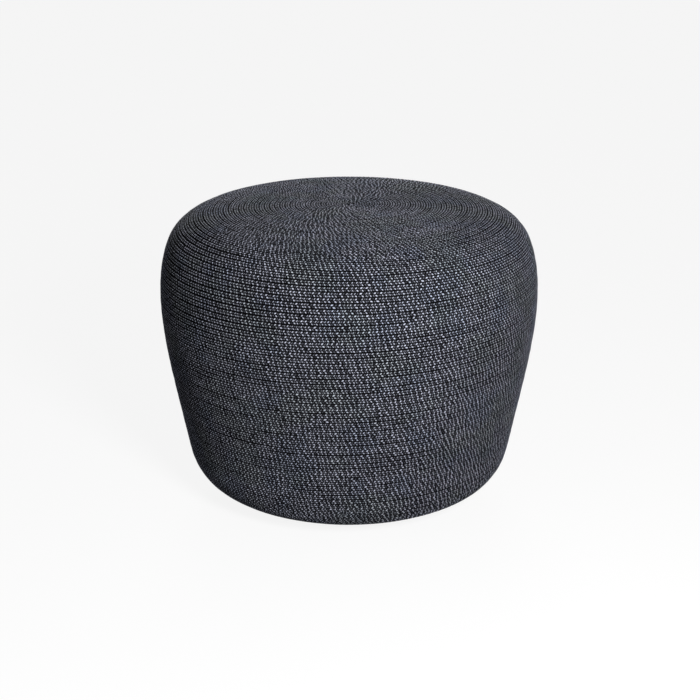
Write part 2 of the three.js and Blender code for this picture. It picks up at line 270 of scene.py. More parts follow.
# %% [markdown]
# ## The cord's section
# Cut through, the cord is a plump oblong. Its outer face has two swellings side by side, one for
# each column of stitches, with a shallow groove between them and a deep one to the next turn. The
# hidden inner face is flat. Few points have to do, because each of them is swept along the whole
# cord and comes back in every one of its eighty thousand rings.
# X is the place across the cord, from -1 to 1, and Y is the depth under the outline, from 0 to 1.

# %% Section
SECTION_HALF_SHARES = [(0, 0.07), (0.27, 0.015), (0.55, 0), (0.82, 0.06), (1, 0.3), (0.8, 1)]

other_half = [(-across, depth) for across, depth in SECTION_HALF_SHARES[:0:-1]]
corners = [(across, depth, 0) for across, depth in SECTION_HALF_SHARES + other_half]
section, line = new_curve("cord_section", "POLY", corners)
line.use_cyclic_u = True
section_sides = len(corners)
print("section:", section_sides, "sides")

# %% [markdown]
# ## The winding as a node tree
# The tree works in three steps. It makes a guide, the cord's centre line, one point for each small
# step of turn. It makes a straight tube with the right number of rings. Then it asks, for each
# point of the tube, how far along the cord it lies, looks up the turn there on the guide, and puts
# the point at its reach along the outline and its depth under it.
# Points carry numbers from one step to the next: those of the guide carry their turn, and those of
# the tube carry their ring and their place in the section.

# %% Shapes in a tree
def store(shape, name, value):
    """Gives each point of a shape a number to carry."""
    values = {"Geometry": shape, "Name": name, "Value": value}
    kind = "GeometryNodeStoreNamedAttribute"
    return wire(shape.tree, kind, values, data_type="FLOAT", domain="POINT")


def carried(tree, name):
    """The number that each point carries under a name."""
    return wire(tree, "GeometryNodeInputNamedAttribute", {"Name": name}, data_type="FLOAT")


def put(shape, place):
    """Moves each point of a shape to its place."""
    return wire(shape.tree, "GeometryNodeSetPosition", {"Geometry": shape, "Position": place})


def shape_of(thing):
    """The shape of an object that a tree is given."""
    return wire(thing.tree, "GeometryNodeObjectInfo", {"Object": thing}, "Geometry")


def straight_line(tree, count):
    values = {"Curve": wire(tree, "GeometryNodeCurvePrimitiveLine"), "Count": count}
    return wire(tree, "GeometryNodeResampleCurve", values, mode="COUNT")


# %% Guide
def on_cover(tree, given, reach, depth, turn):
    """The point at a reach along the outline, a depth under it and a number of turns round."""
    values = {"Curves": shape_of(given["Outline"]), "Length": reach}
    sample = node(tree, "GeometryNodeSampleCurve", values, mode="LENGTH")
    radius, _, height = split_xyz(tree, sample.outputs["Position"])
    outwards, _, upwards = split_xyz(tree, sample.outputs["Tangent"])
    past_axis = reach.math("MINIMUM", 0.0)
    radius = radius + upwards * depth + past_axis
    height = height - outwards * depth
    angle = turn * (2 * math.pi)
    return join_xyz(tree, radius * angle.math("COSINE"), radius * angle.math("SINE"), height)


def cord_guide(tree, given):
    """The cord's centre line, whose points carry their turn."""
    start = given["Start Turn"]
    turns = given["End Turn"] - start
    steps = (turns * GUIDE_POINTS_PER_TURN).math("ROUND")
    index = wire(tree, "GeometryNodeInputIndex")
    guide = store(straight_line(tree, steps + 1), "turn", start + index / steps * turns)
    turn = carried(tree, "turn")
    reach = (turn - start) * given["Pitch"]
    return put(guide, on_cover(tree, given, reach, given["Thickness"] * 0.5, turn))


# %% Tube
def straight_tube(tree, given):
    """A tube whose points carry their ring and their place in the section."""
    index = wire(tree, "GeometryNodeInputIndex")
    spine = store(straight_line(tree, given["Rings"] + 1), "ring", index + given["First Ring"])
    across, depth_share, _ = split_xyz(tree, wire(tree, "GeometryNodeInputPosition"))
    rim = store(store(shape_of(given["Section"]), "across", across), "sunk", depth_share)
    values = {"Curve": spine, "Profile Curve": rim, "Fill Caps": True}
    return wire(tree, "GeometryNodeCurveToMesh", values)


# %% [markdown]
# ## Stitches
# The stitches come from the same rule. The rings lean forward away from the cord's middle, as the
# strands of a braid do, and every second ring lies deeper, in the crease between two strands. The
# second column of stitches is one ring out of step with the first, so that they interlace. A real
# braid is never quite even, so a slow random wave stretches and crowds the stitches a little. The
# cord's two ends stay even, so that its caps are flat.
# Nor do the turns lie quite level. On the drum's side they stand a few millimetres higher at the
# right than at the left.

# %% Place along the cord
JITTER_WAVES_PER_STITCH = 0.16
EVEN_END_STITCHES = 2.0


def place_along(tree, given, guide):
    """How far along the cord each point of the tube lies, in metres and as a turn."""
    across, ring = carried(tree, "across"), carried(tree, "ring")
    to_ends = ring.math("MINIMUM", given["Rings in All"] - ring) / given["Rings per Stitch"]
    uneven = to_ends.ramp(0.0, EVEN_END_STITCHES)
    hurried = noise(tree, ring / given["Rings per Stitch"], scale=JITTER_WAVES_PER_STITCH) - 0.5
    cord_length = wire(tree, "GeometryNodeCurveLength", {0: guide})
    along = ring / given["Rings in All"] * cord_length + hurried * given["Stitch Jitter"] * uneven
    slanted = along + across.math("ABSOLUTE") * given["Stitch Slant"] * uneven
    values = {"Curves": guide, "Value": carried(tree, "turn"), "Length": slanted}
    return along, wire(tree, "GeometryNodeSampleCurve", values, "Value", mode="LENGTH")


# %% Depth of a stitch
CROWN_FULLNESS = 0.7
CREASE_SHARES = (0.75, 1.25)
OUTER_FACE_SHARES = (0.4, 1.0)
TUCK_TURNS = 0.45


def stitch_depth(tree, given, slow, turn):
    """How deep each point of the tube lies under the outline."""
    across, sunk, ring = (carried(tree, name) for name in ("across", "sunk", "ring"))
    second_column = across.math("GREATER_THAN", 0.0)
    leg = (ring + second_column * given["Column Shift"]) / given["Rings per Stitch"]
    crown = (leg.math("FRACT") * math.pi).math("SINE").math("POWER", CROWN_FULLNESS)
    outer = sunk.ramp(*OUTER_FACE_SHARES, 1.0, 0.0)
    least, most = CREASE_SHARES
    stitch_size = dice(tree, leg.math("FLOOR") + second_column * 0.5) * (most - least) + least
    crease = (crown * -1 + 1) * given["Crease Depth"] * outer * stitch_size
    settled = slow.ramp(*NOISE_SPAN) * given["Unevenness"] * outer
    start = given["Start Turn"]
    into_middle = turn.ramp(start, start + TUCK_TURNS, 1.0, 0.0)
    return sunk * given["Thickness"] + crease + settled + into_middle * given["Start Tuck"]


# %% Reach of a turn
LEAST_WIDTH_SHARE = 0.95
WIDTH_CHANGE_SHARE = 0.06
LEAN_GROWS = (0.2, 0.36)
LEAN_FADES = (0.54, 0.645)


def turn_reach(tree, given, slow, turn):
    """How far along the outline each point of the tube lies."""
    narrowed = (slow * -1 + 1) * WIDTH_CHANGE_SHARE + LEAST_WIDTH_SHARE
    centre = (turn - given["Start Turn"]) * given["Pitch"]
    on_side = centre.ramp(*LEAN_GROWS) * centre.ramp(*LEAN_FADES, 1.0, 0.0)
    leaning = (turn * (2 * math.pi)).math("COSINE") * given["Lean"] * on_side
    return centre + carried(tree, "across") * given["Half Width"] * narrowed - leaning


# %% [markdown]
# ## The whole tree
# The tree puts the three steps together. Its inputs are the sizes that someone who winds another
# cord would want to change. Each point keeps its place along the cord and its turn, because the
# cord's material reads them. Instances are lost when a model is exported, so the tree makes its
# result real before it sets the material.

# %% Winding tree
SLOW_WAVES_PER_METRE = 6.0
WINDING_INPUTS = [
    ("Outline", OBJECT, None),
    ("Section", OBJECT, None),
    ("Pitch", FLOAT, 0.0068),
    ("Half Width", FLOAT, 0.0033),
    ("Thickness", FLOAT, 0.0068),
    ("Start Turn", FLOAT, -0.5),
    ("End Turn", FLOAT, 94.0),
    ("Rings in All", INT, 1000),
    ("First Ring", INT, 0),
    ("Rings", INT, 100),
    ("Rings per Stitch", INT, 2),
    ("Column Shift", INT, 1),
    ("Stitch Slant", FLOAT, 0.002),
    ("Stitch Jitter", FLOAT, 0.01),
    ("Crease Depth", FLOAT, 0.0005),
    ("Start Tuck", FLOAT, 0.006),
    ("Lean", FLOAT, 0.009),
    ("Unevenness", FLOAT, 0.0003),
    ("Material", MATERIAL, None),
]


def winding_tree():
    outputs = [("Geometry", GEOMETRY)]
    tree, given, group_out = new_tree("cord_winding", "GeometryNodeTree", WINDING_INPUTS, outputs)
    guide = cord_guide(tree, given)
    along, turn = place_along(tree, given, guide)
    slow = noise(tree, along, scale=SLOW_WAVES_PER_METRE)
    reach = turn_reach(tree, given, slow, turn)
    depth = stitch_depth(tree, given, slow, turn)
    cord = put(straight_tube(tree, given), on_cover(tree, given, reach, depth, turn))
    cord = store(cord, "leg", carried(tree, "ring") / given["Rings per Stitch"])
    cord = store(cord, "turn", turn)
    real = wire(tree, "GeometryNodeRealizeInstances", {"Geometry": cord})
    dressed = wire(tree, "GeometryNodeSetMaterial", {"Geometry": real, "Material": given["Material"]})
    fill(tree, group_out, {0: dressed})
    return tree


winding_rule = winding_tree()
print("winding tree:", len(winding_rule.nodes), "nodes")

# %% [markdown]
# ## From a rule to a mesh
# A geometry tree works as a modifier on an object. The library that this stool goes to wants plain
# meshes, so the tree is set up, evaluated once, and its result copied into the object. The modifier
# then goes. Each input is set by its identifier before that, because its name is only a label.

# %% Run a tree and keep its mesh
def grow(name, tree, values, start=None):
    """Makes a plain mesh object from a geometry tree and the values of its named inputs."""
    made = placed(name, start or bpy.data.meshes.new(name))
    modifier = made.modifiers.new("rule", "NODES")
    modifier.node_group = tree
    for item in tree.interface.items_tree:
        if item.in_out == "INPUT" and item.name in values:
            modifier[item.identifier] = values[item.name]
    mesh = evaluated_mesh(made)
    mesh.name = name
    made.modifiers.clear()
    made.data = mesh
    return made


# %% [markdown]
# ## Material helpers
# A material is a node tree as well, and every material of the stool is made of the same few steps:
# read a place or a number that the mesh carries, mix two colours by a mask, and turn a height into
# small bumps.

# %% Shader helpers
def new_material(name):
    material = bpy.data.materials.new(name)
    material.use_nodes = True
    return material, material.node_tree, material.node_tree.nodes["Principled BSDF"]


def attribute(tree, name):
    settings = {"attribute_name": name, "attribute_type": "GEOMETRY"}
    return wire(tree, "ShaderNodeAttribute", output="Fac", **settings)


def place_on_piece(tree):
    return wire(tree, "ShaderNodeTexCoord", output="Object")


def mix(tree, share, first, second):
    """Mixes two colours by a mask. Each colour is a wire or three numbers."""
    first, second = ((*value, 1) if isinstance(value, tuple) else value for value in (first, second))
    return wire(tree, "ShaderNodeMix", {"Factor": share, 6: first, 7: second}, 2, data_type="RGBA")


def bump(tree, shader, height, distance):
    values = {"Height": height, "Distance": distance, "Strength": 1.0}
    fill(tree, shader, {"Normal": wire(tree, "ShaderNodeBump", values)})


# %% [markdown]
# ## The cord's finish
# The cord is braided from heathered yarn: pale threads and dark ones are spun together, and strands
# of the two kinds cross in turn. Close by that is a lively pattern of dots, and from far away it
# reads as charcoal. Here and there the yarn has a bluer or greener cast.
# The pattern has to follow the braid, so the material reads the numbers that shaped the stitches:
# the place along the cord, counted in stitches, and the place across it. From them it works out
# where a strand dives under the next, which of the two kinds it is, and how its threads run.
# Little light gets into the gaps of a braid, so they are painted nearly black: painted shade where
# a strand dives under the next, in the crease between the two columns and in the line between two
# turns. The turns press on each other unevenly, so this painted shade line between two turns is
# wider in some places and narrower in others. That width goes by the turn, so that the two turns
# beside a line agree on it.

# %% Cord material
# The first colour is painted shade, the near black of the braid's gaps. The others are the yarn's own.
GAP_PAINTED_SHADE = (0.0012, 0.0012, 0.002)
YARN_DARK = (0.02, 0.021, 0.028)
YARN_LIGHT = (0.78, 0.805, 0.98)
YARN_BLUE = (0.52, 0.62, 0.86)
YARN_GREEN = (0.62, 0.70, 0.68)
CAST_PATCHES = (0.48, 0.62, 0.0, 0.4)
STRAY_STITCHES = 0.3
STRAY_WAVES = (0.9, 1.5)
THREADS_PER_STRAND = 2
THREAD_SHARES = {"lines": 0.4, "fluff": 0.6}
FLUFF_WAVES = (1.6, 4.0)
FLUFF_STEPS = (3.7, 0.61)
FLUFF_SPAN = (0.35, 0.65)
STRAND_CREST = (0.28, 0.85)
STRAND_UNEVENNESS = 0.3
# The next two ramps set where painted shade falls: in the crease between the columns and in the line
# between turns.
COLUMN_CREASE_SHADE = (0.05, 0.42, 0.0, 1.0)
TURN_LINE_SHADE = (0.58, 0.9, 1.0, 0.0)
TURN_PRESSING = 0.2
TURN_PRESSING_WAVES = 0.09
TURN_GAP_CHANGE = 0.07
TURN_GAP_WAVES = 8.3
LIGHT_SHARES = {"threads": 0.45, "strand": 0.1, "kind": 0.45}
LIGHT_SPAN = (0.15, 0.85)
CORD_BUMP = 0.0002


def cord_yarn_and_painted_shade():
    material, tree, shader = new_material("braided_cord")
    leg, across = attribute(tree, "leg"), attribute(tree, "across")
    second_column = across.math("GREATER_THAN", 0.0)
    width_share = across.math("ABSOLUTE")
    waves_along, waves_across = STRAY_WAVES
    strayed = noise(tree, join_xyz(tree, leg * waves_along, across * waves_across, 0.0), "3D") - 0.5
    place = leg + second_column * (COLUMN_SHIFT_RINGS / RINGS_PER_STITCH) + strayed * STRAY_STITCHES
    stitch = place.math("FLOOR") * 2 + second_column
    kind = (place * 0.5 + second_column * 0.5).math("FRACT").math("LESS_THAN", 0.5)
    phase = place.math("FRACT")
    tone = dice(tree, stitch)
    size = dice(tree, stitch + 0.5)
    # Painted shade: away from its crest, where a strand dives under the next, the colour goes dark.
    crest = ((phase * math.pi).math("SINE") - size * STRAND_UNEVENNESS).ramp(*STRAND_CREST)
    pressed = noise(tree, leg * TURN_PRESSING_WAVES, detail=3.0) - 0.5
    groove = attribute(tree, "turn") - across.math("LESS_THAN", 0.0)
    opened = noise(tree, groove * TURN_GAP_WAVES, detail=1.0)
    opened = opened.ramp(*NOISE_SPAN, -1.0, 1.0, smooth=False)
    from_middle = width_share + pressed * TURN_PRESSING + opened * TURN_GAP_CHANGE
    # The strand mask is one on the strand and falls to nought in the painted shade of the gaps.
    strand = crest * width_share.ramp(*COLUMN_CREASE_SHADE) * from_middle.ramp(*TURN_LINE_SHADE)
    lines = ((phase * THREADS_PER_STRAND + tone) * (2 * math.pi)).math("COSINE") * 0.5 + 0.5
    # Every stitch reads another part of the noise, a fixed step away from the last.
    fluff_along = phase * FLUFF_WAVES[0] + stitch * FLUFF_STEPS[0]
    fluff_place = join_xyz(tree, fluff_along, width_share * FLUFF_WAVES[1], stitch * FLUFF_STEPS[1])
    fluff = noise(tree, fluff_place, "3D").ramp(*FLUFF_SPAN)
    thread = lines * THREAD_SHARES["lines"] + fluff * THREAD_SHARES["fluff"]
    shares = LIGHT_SHARES
    light = thread * shares["threads"] + tone * shares["strand"] + kind * shares["kind"]
    bright = YARN_LIGHT
    for cast, patches_per_metre in ((YARN_BLUE, 22.0), (YARN_GREEN, 17.0)):
        patch = noise(tree, place_on_piece(tree), "3D", scale=patches_per_metre)
        bright = mix(tree, patch.ramp(*CAST_PATCHES), bright, cast)
    yarn = mix(tree, light.ramp(*LIGHT_SPAN), YARN_DARK, bright)
    # The gaps take the painted shade colour. The same mask also makes them rougher and sets them lower in
    # the bump.
    values = {"Base Color": mix(tree, strand, GAP_PAINTED_SHADE, yarn), "Roughness": strand * -0.2 + 0.95}
    fill(tree, shader, {**values, "Specular IOR Level": 0.1})
    bump(tree, shader, strand + thread * 0.5, CORD_BUMP)
    return material


cord_material = cord_yarn_and_painted_shade()

# %% [markdown]
# ## The cord in ten runs
# The whole cord has nearly nine hundred thousand faces, too many for one mesh file to hold, so it
# is made in ten runs that meet ring on ring. Each run comes from the same tree with another first
# ring, and the noise in the tree goes by the place along the whole cord, so no joint shows.

# %% Cord runs
HALF_WIDTH_SHARE = 0.49
rings_per_run = math.ceil(stitch_count / RUNS) * RINGS_PER_STITCH


def wind_cord():
    runs = []
    for run in range(RUNS):
        first = run * rings_per_run
        values = {
            "Outline": outline,
            "Section": section,
            "Pitch": cord_pitch,
            "Half Width": HALF_WIDTH_SHARE * cord_pitch,
            "Thickness": CORD_THICKNESS,
            "Start Turn": START_TURN,
            "End Turn": end_turn,
            "Rings in All": ring_count,
            "First Ring": first,
            "Rings": min(rings_per_run, ring_count - first),
            "Rings per Stitch": RINGS_PER_STITCH,
            "Column Shift": COLUMN_SHIFT_RINGS,
            "Material": cord_material,
        }
        runs.append(grow(f"braided_cord_run_{run + 1}", winding_rule, values))
    return runs


cord_runs = wind_cord()
bpy.data.objects.remove(outline)
bpy.data.objects.remove(section)
print("cord:", sum(len(run.data.vertices) for run in cord_runs), "points in", RUNS, "runs")

# %% [markdown]
# ## A map for the cord's pattern
# Other programs can't read the cord's material. For them its pattern would have to be drawn on an
# image, and such an image needs a flat map of the mesh. Blender's own unwrapping would cut such a
# long tube into thousands of scraps, so the map is laid out by rule. Each run is slit along its
# hidden face, cut into rows like the lines of a page, and the rows are laid one above the other. The
# faces that can be seen get most of a row's height.

# %% Pattern map
MAP_NAME = "OFBake"
MAP_ROWS = 40
MAP_MARGIN = 0.0015
MAP_TOP = 0.985
MAP_CAP_SIZE = 0.004
SIDE_WEIGHTS = [0.6, 1, 1.5, 1.5, 1.5, 1.5, 1.5, 1.5, 1, 0.6, 0.5]
QUAD = 4
END_CAPS = 2
rings_per_row = math.ceil(rings_per_run / MAP_ROWS)


def lay_out(run):
    """Gives a cord run its map. Its tube faces come ring by ring, and its two end caps come last."""
    mesh = run.data
    loops = len(mesh.loops)
    corner = np.empty(loops, int)
    mesh.loops.foreach_get("vertex_index", corner)
    tube_loops = QUAD * (len(mesh.polygons) - END_CAPS)
    face = np.arange(tube_loops) // QUAD
    segment, side = face // section_sides, face % section_sides
    ring, rim = corner[:tube_loops] // section_sides, corner[:tube_loops] % section_sides
    # The slit runs along the section's hidden side, and the strips are counted on from there.
    first_side = len(SECTION_HALF_SHARES)
    strip = (side - first_side) % section_sides + (rim != side)
    heights = np.concatenate([[0], np.cumsum(SIDE_WEIGHTS)]) / sum(SIDE_WEIGHTS)
    row = segment // rings_per_row
    along_row = row + 1 - ring / rings_per_row
    row_height = MAP_TOP / MAP_ROWS
    places = np.zeros((loops, 2))
    places[:tube_loops, 0] = MAP_MARGIN + along_row * (1 - 2 * MAP_MARGIN)
    places[:tube_loops, 1] = row * row_height + MAP_MARGIN / 2 + heights[strip] * (row_height - MAP_MARGIN)
    angle = 2 * math.pi * np.arange(section_sides) / section_sides
    cap = np.stack([np.cos(angle), np.sin(angle)], 1) * MAP_CAP_SIZE
    for number in range(END_CAPS):
        start = tube_loops + number * section_sides
        middle = ((number + 1) * 4 * MAP_CAP_SIZE, MAP_TOP + 2 * MAP_CAP_SIZE)
        places[start : start + section_sides] = cap + middle
    layer = mesh.uv_layers.new(name=MAP_NAME, do_init=False)
    layer.uv.foreach_set("vector", places.astype(np.float32).ravel())


for run in cord_runs:
    lay_out(run)
print("map:", MAP_ROWS, "rows a run,", rings_per_row, "rings in each")

# %% [markdown]
# ## What each piece stands for
# Every finished piece is attached to the body of the stool that it moves with, and the node of the
# imported model that it takes the place of is hidden. The stool has one body.

# %% Finished pieces
def finish_piece(piece, slot, *nodes):
    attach(piece, "root")
    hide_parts(*nodes)
    print(piece.name + ":", len(piece.data.polygons), "faces")
    return piece


for run in cord_runs:
    finish_piece(run, "braided_cord", "cord_winding")

# %% [markdown]
# ## Turned pieces
# Rings, discs, glides and screws are all turned: a flat outline swept once round an axis. The sweep
# is a few lines of mesh code, which gives even sides and closed poles. The frame's own nodes carry
# the same sizes with 24 or fewer sides, so each new piece takes its measures from its node's box.

# %% Turned pieces
ROUND_SIDES = 144
TINY = 1e-6
MOST_EASE_SHARE = 0.45


def new_piece(name, points, faces, material):
    mesh = bpy.data.meshes.new(name)
    mesh.from_pydata(points, [], faces)
    mesh.update()
    mesh.materials.append(material)
    return placed(name, mesh)


def turned(name, profile, sides, material):
    """Sweeps (radius, height) points round the Z axis. They run up outside and down inside."""
    points, rows = [], []
    for radius, height in profile:
        if radius < TINY:
            rows.append([len(points)] * sides)
            points.append((0, 0, height))
            continue
        rows.append(list(range(len(points), len(points) + sides)))
        for i in range(sides):
            angle = 2 * math.pi * i / sides
            points.append((radius * math.cos(angle), radius * math.sin(angle), height))
    faces = []
    closed = profile[0][0] > TINY
    for below, above in zip(rows, rows[1:] + (rows[:1] if closed else [])):
        for i in range(sides):
            k = (i + 1) % sides
            corners = [below[i], below[k], above[k], above[i]]
            faces.append(list(dict.fromkeys(corners)))
    return new_piece(name, points, faces, material)


def eased(corners, ease):
    """Cuts every corner of a closed outline, for a small chamfer all round."""
    softened = []
    for i, (x, z) in enumerate(corners):
        for other in (corners[i - 1], corners[(i + 1) % len(corners)]):
            run = math.hypot(other[0] - x, other[1] - z)
            share = min(ease / run, MOST_EASE_SHARE)
            softened.append((x + (other[0] - x) * share, z + (other[1] - z) * share))
    return softened


def smoothed(piece, degrees=35):
    """Smooth shading that stays sharp where two faces meet at a steeper angle."""
    piece.data.shade_smooth()
    piece.data.set_sharp_from_angle(angle=math.radians(degrees))
    return piece


# %% [markdown]
# ## Rings of pieces and rings of holes
# Screws, glides and drain holes stand on circles. One small node tree puts a master shape on each
# point of a circle and keeps the one with a given number, so every screw stays a piece of its own.
# The other tree joins the same circle of shapes and takes them away from a plate, as a drill does.
# A drill is turned too. Its two ends flare, so each hole comes with its chamfers.

# %% Ring trees
DRILL_OVERRUN = 0.001
DRILL_SIDES = 24
HOLE_FLARE = 0.0004
RING_INPUTS = [
    ("Master", OBJECT, None),
    ("Count", INT, 6),
    ("Circle Radius", FLOAT, 0.1),
    ("First Angle", FLOAT, 0.0),
    ("Number", INT, 0),
    ("Material", MATERIAL, None),
]


def ring_tree(name, drills):
    inputs = [("Geometry", GEOMETRY, None), *RING_INPUTS] if drills else RING_INPUTS
    tree, given, group_out = new_tree(name, "GeometryNodeTree", inputs, [("Geometry", GEOMETRY)])
    index = wire(tree, "GeometryNodeInputIndex")
    angle = given["First Angle"] + index / given["Count"] * (2 * math.pi)
    radius = given["Circle Radius"]
    place = join_xyz(tree, radius * angle.math("COSINE"), radius * angle.math("SINE"), 0.0)
    points = wire(tree, "GeometryNodePoints", {"Count": given["Count"], "Position": place})
    chosen = {"Points": points, "Instance": shape_of(given["Master"])}
    if not drills:
        off = (index - given["Number"]).math("ABSOLUTE")
        chosen["Selection"] = off.math("LESS_THAN", 0.5)
    instances = wire(tree, "GeometryNodeInstanceOnPoints", chosen)
    made = wire(tree, "GeometryNodeRealizeInstances", {"Geometry": instances})
    if drills:
        values = {"Mesh 1": given["Geometry"], "Mesh 2": made}
        made = wire(tree, "GeometryNodeMeshBoolean", values, operation="DIFFERENCE")
    dressed = wire(tree, "GeometryNodeSetMaterial", {"Geometry": made, "Material": given["Material"]})
    fill(tree, group_out, {0: dressed})
    return tree


ring_of_pieces = ring_tree("ring_of_pieces", drills=False)
ring_of_holes = ring_tree("ring_of_holes", drills=True)


def one_of_ring(name, master, number, count, radius, first_angle, material):
    values = {"Master": master, "Count": count, "Circle Radius": radius, "First Angle": first_angle}
    return grow(name, ring_of_pieces, {**values, "Number": number, "Material": material})


def drill(plate, radius, bottom, top, count, circle, first_angle=0.0, sides=DRILL_SIDES, flare=HOLE_FLARE):
    """Takes a circle of holes from a plate. A hole whose top lies inside the plate stays blind."""
    over = DRILL_OVERRUN
    mouth = [(0, bottom - over), (radius + flare + over, bottom - over), (radius, bottom + flare)]
    plate_top = max(corner[2] for corner in plate.bound_box)
    if top < plate_top - TINY:
        end = [(radius, top), (0, top)]
    else:
        end = [(radius, top - flare), (radius + flare + over, top + over), (0, top + over)]
    material = plate.data.materials[0]
    tool = turned("drill", [*mouth, *end], sides, material)
    values = {"Master": tool, "Count": count, "Circle Radius": circle, "First Angle": first_angle}
    name, old = plate.name, plate.data
    drilled = grow(name, ring_of_holes, {**values, "Material": material}, start=old)
    plate.data = drilled.data
    bpy.data.objects.remove(drilled)
    bpy.data.meshes.remove(old)
    plate.data.name = name
    bpy.data.objects.remove(tool)
    return plate


# %% [markdown]
# ## Surface effects
# Powder coat, moulded plastic and steel differ in colour and gloss, but all of them have a fine
# grain and all of them gather a little dust outdoors. Each of the two effects is a node group with
# named inputs, built once and placed in every such material with its own values.

# %% Grain and dust groups
def grain_group():
    inputs = [("Grain Size", FLOAT, 0.001), ("Stretch", VECTOR, (1, 1, 1)), ("Contrast", FLOAT, 0.3)]
    outputs = [("Height", FLOAT), ("Patches", FLOAT)]
    tree, given, group_out = new_tree("surface_grain", "ShaderNodeTree", inputs, outputs)
    place = place_on_piece(tree)
    values = {0: place, 1: given["Stretch"]}
    stretched = wire(tree, "ShaderNodeVectorMath", values, operation="MULTIPLY")
    values = {0: stretched, "Scale": given["Grain Size"].math("POWER", -1.0)}
    scaled = wire(tree, "ShaderNodeVectorMath", values, operation="SCALE")
    height = (noise(tree, scaled, "3D") - 0.5) * given["Contrast"] + 0.5
    broad = noise(tree, place, "3D", detail=3.0, scale=28.0)
    fill(tree, group_out, {"Height": height, "Patches": broad.ramp(0.35, 0.7)})
    return tree


def dust_group():
    colours = [("Color", COLOUR, (0.1, 0.1, 0.1, 1)), ("Dust Color", COLOUR, (0.3, 0.29, 0.27, 1))]
    inputs = [*colours, ("Amount", FLOAT, 0.2)]
    outputs = [("Color", COLOUR), ("Dust", FLOAT)]
    tree, given, group_out = new_tree("settled_dust", "ShaderNodeTree", inputs, outputs)
    _, _, upwards = split_xyz(tree, wire(tree, "ShaderNodeNewGeometry", output="Normal"))
    cloud = noise(tree, place_on_piece(tree), "3D", detail=5.0, scale=60.0)
    dust = cloud.ramp(0.4, 0.75) * given["Amount"] * upwards.ramp(-0.6, 0.9, 0.25, 1.0)
    fill(tree, group_out, {"Color": mix(tree, dust, given["Color"], given["Dust Color"]), "Dust": dust})
    return tree


surface_grain = grain_group()
settled_dust = dust_group()

# %% [markdown]
# ## Metal and plastic
# One function builds the three hard finishes from the two groups. The frame has a satin powder
# coat, the plate and the glides are moulded in matte black, and the screws and the clip are plain
# stainless steel, whose grain is drawn out along the wire that they were made of.

# %% Frame, plastic and steel finishes
TONE_SHARES = {"grain": 0.6, "patches": 0.4}
WORN_SPAN = (0.2, 0.8)
DUST_ROUGHENS = 0.3


def plain_finish(name, colours, grain, roughness, dust, depth, stretch=(1, 1, 1), metallic=0.0):
    """Grain is (size, contrast), and roughness is (least, most)."""
    material, tree, shader = new_material(name)
    values = {"Grain Size": grain[0], "Contrast": grain[1], "Stretch": stretch}
    grained = node(tree, "ShaderNodeGroup", values, node_tree=surface_grain)
    height = Wire(tree, grained.outputs["Height"])
    patches = Wire(tree, grained.outputs["Patches"])
    tone = height * TONE_SHARES["grain"] + patches * TONE_SHARES["patches"]
    base = mix(tree, tone, *colours)
    dusty = node(tree, "ShaderNodeGroup", {"Color": base, "Amount": dust}, node_tree=settled_dust)
    worn = (patches * 0.5 + height * 0.5).ramp(*WORN_SPAN, *roughness, smooth=False)
    rough = worn + Wire(tree, dusty.outputs["Dust"]) * DUST_ROUGHENS
    fill(tree, shader, {"Base Color": dusty.outputs["Color"], "Roughness": rough, "Metallic": metallic})
    bump(tree, shader, height, depth)
    return material


powder_coat = plain_finish(
    "coated_aluminium",
    colours=((0.03, 0.031, 0.035), (0.05, 0.052, 0.058)),
    grain=(0.0012, 0.5),
    roughness=(0.38, 0.55),
    dust=0.12,
    depth=0.0002,
)
moulded_plastic = plain_finish(
    "black_plastic",
    colours=((0.012, 0.012, 0.013), (0.026, 0.026, 0.028)),
    grain=(0.0005, 0.8),
    roughness=(0.5, 0.7),
    dust=0.25,
    depth=0.0001,
)
steel = plain_finish(
    "stainless_steel",
    colours=((0.5, 0.51, 0.52), (0.62, 0.62, 0.63)),
    grain=(0.0004, 0.9),
    roughness=(0.22, 0.4),
    dust=0.1,
    depth=0.00003,
    stretch=(1, 1, 0.12),
    metallic=1.0,
)

# %% [markdown]
# ## Foam and mesh fabric
# Quick-dry foam is a net of thin walls round small cells, so a cell pattern draws it; the cells are
# painted dark, as painted shade in the pores. The liner is a knitted mesh with round holes in
# staggered rows, and the holes are painted near black, as painted shade where the mesh is open. Its
# pattern lies flat on the top, is wrapped round the side, and changes over at the seam between the
# two, which is a raised line.

# %% Foam and liner finishes
FOAM_CELLS_PER_METRE = 420.0
FOAM_WALL_SPAN = (0.25, 0.75)
FOAM_PORE_SHADE = (0.03, 0.032, 0.035)
FOAM_TONES = ((0.15, 0.16, 0.17), (0.22, 0.23, 0.235))
FOAM_BUMP = 0.0006
FABRIC_CELL = 0.003
FABRIC_CELLS_ROUND = 520
FABRIC_HOLE = (0.24, 0.36)
FABRIC_SEAM_HEIGHT = 0.345
FABRIC_SEAM_EDGE = (0.0012, 0.002)
FABRIC_SEAM_REACH = (0.2, 0.21)
FABRIC_SEAM_CHANGE = 0.0005
FABRIC_SEAM_COLOUR = (0.04, 0.04, 0.045)
FABRIC_HOLE_SHADE = (0.003, 0.003, 0.003)
FABRIC_TONES = ((0.012, 0.012, 0.014), (0.03, 0.03, 0.034))
FABRIC_BUMP = 0.0004


def foam_cells_and_pore_shade():
    material, tree, shader = new_material("quick_dry_foam")
    place = place_on_piece(tree)
    values = {"Vector": place, "Scale": FOAM_CELLS_PER_METRE}
    wall = wire(tree, "ShaderNodeTexVoronoi", values, "Distance", feature="F1").ramp(*FOAM_WALL_SPAN)
    slow = noise(tree, place, "3D", detail=3.0, scale=30.0)
    tone = mix(tree, slow.ramp(*NOISE_SPAN), *FOAM_TONES)
    # Painted shade: the middle of each cell, a pit in the bump, takes the dark colour of shade in a pore.
    colour = mix(tree, wall, FOAM_PORE_SHADE, tone)
    fill(tree, shader, {"Base Color": colour, "Roughness": wall * -0.1 + 1.0, "Sheen Weight": 0.1})
    bump(tree, shader, wall, FOAM_BUMP)
    return material


